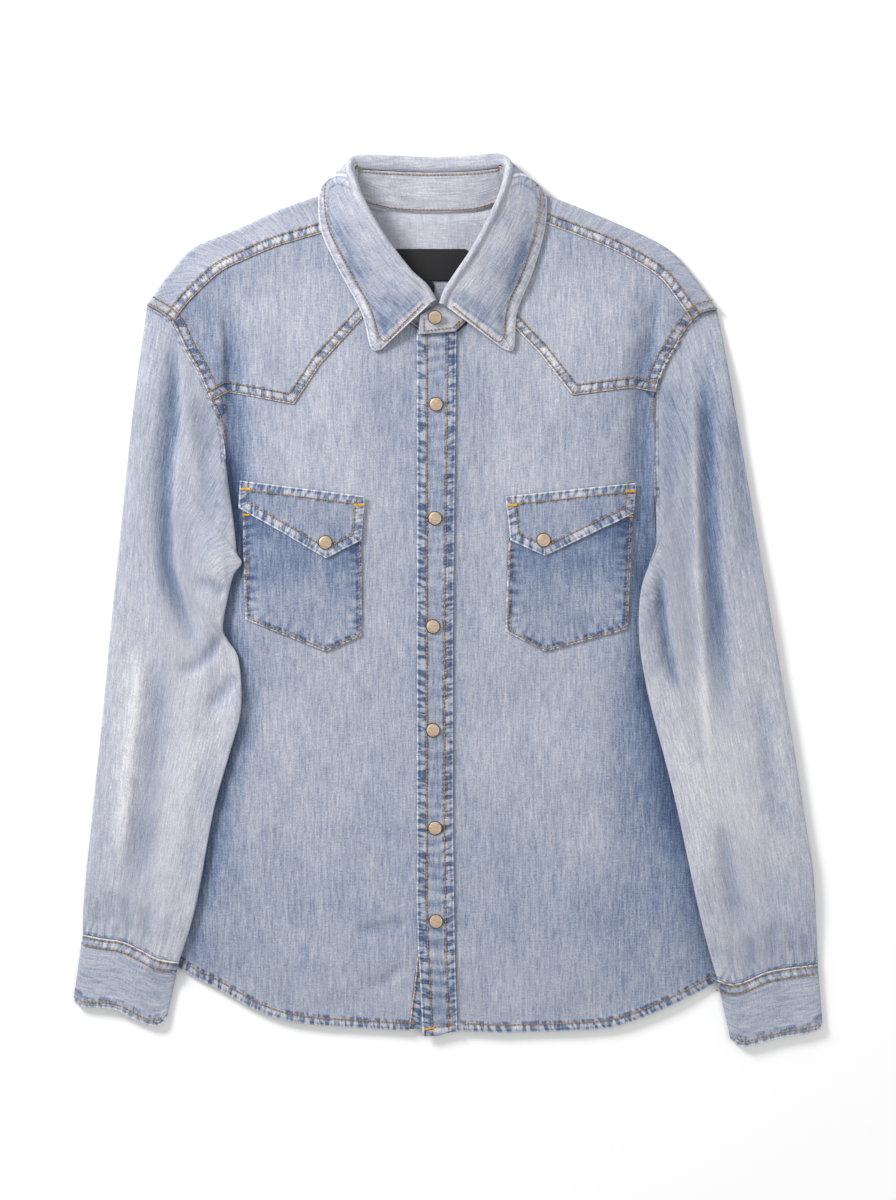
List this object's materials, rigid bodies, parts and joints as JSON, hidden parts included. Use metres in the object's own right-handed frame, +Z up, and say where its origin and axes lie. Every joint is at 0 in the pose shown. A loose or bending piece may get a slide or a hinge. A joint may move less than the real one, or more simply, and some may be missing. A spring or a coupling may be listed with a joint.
{
  "type": "denim shirt",
  "caption": "Long-sleeved western shirt in light washed blue denim, laid flat and snapped shut, with pointed yokes and flapped chest pockets.",
  "frame": {"origin": "centre of the shirt's outline on the floor it lies on", "axes": "+Z up out of the front of the shirt, +Y towards the collar, +X towards the wearer's left"},
  "size_m": [0.652, 0.776, 0.0251],
  "materials": {
    "denim": "light washed indigo twill, faded along seams and folds",
    "sleeve_denim": "the same washed twill, a little darker on the sleeves",
    "label_cloth": "black woven label, blank",
    "brass": "brushed antique brass"
  },
  "bodies": {
    "root": {"back": "denim", "back_yoke": "denim", "front_right": "denim", "front_left": "denim", "front_yoke_right": "denim", "front_yoke_left": "denim", "placket": "denim", "under_placket": "denim", "pocket_right": "denim", "pocket_left": "denim", "flap_right": "denim", "flap_left": "denim", "sleeve_right": "sleeve_denim", "sleeve_left": "sleeve_denim", "cuff_right": "denim", "cuff_left": "denim", "collar_stand": "denim", "collar_leaf": "denim", "neck_label": "label_cloth", "size_tab": "label_cloth", "snap_placket_1": "brass", "snap_placket_2": "brass", "snap_placket_3": "brass", "snap_placket_4": "brass", "snap_placket_5": "brass", "snap_placket_6": "brass", "snap_flap_right": "brass", "snap_flap_left": "brass", "snap_collar": "brass"}
  },
  "joints": []
}
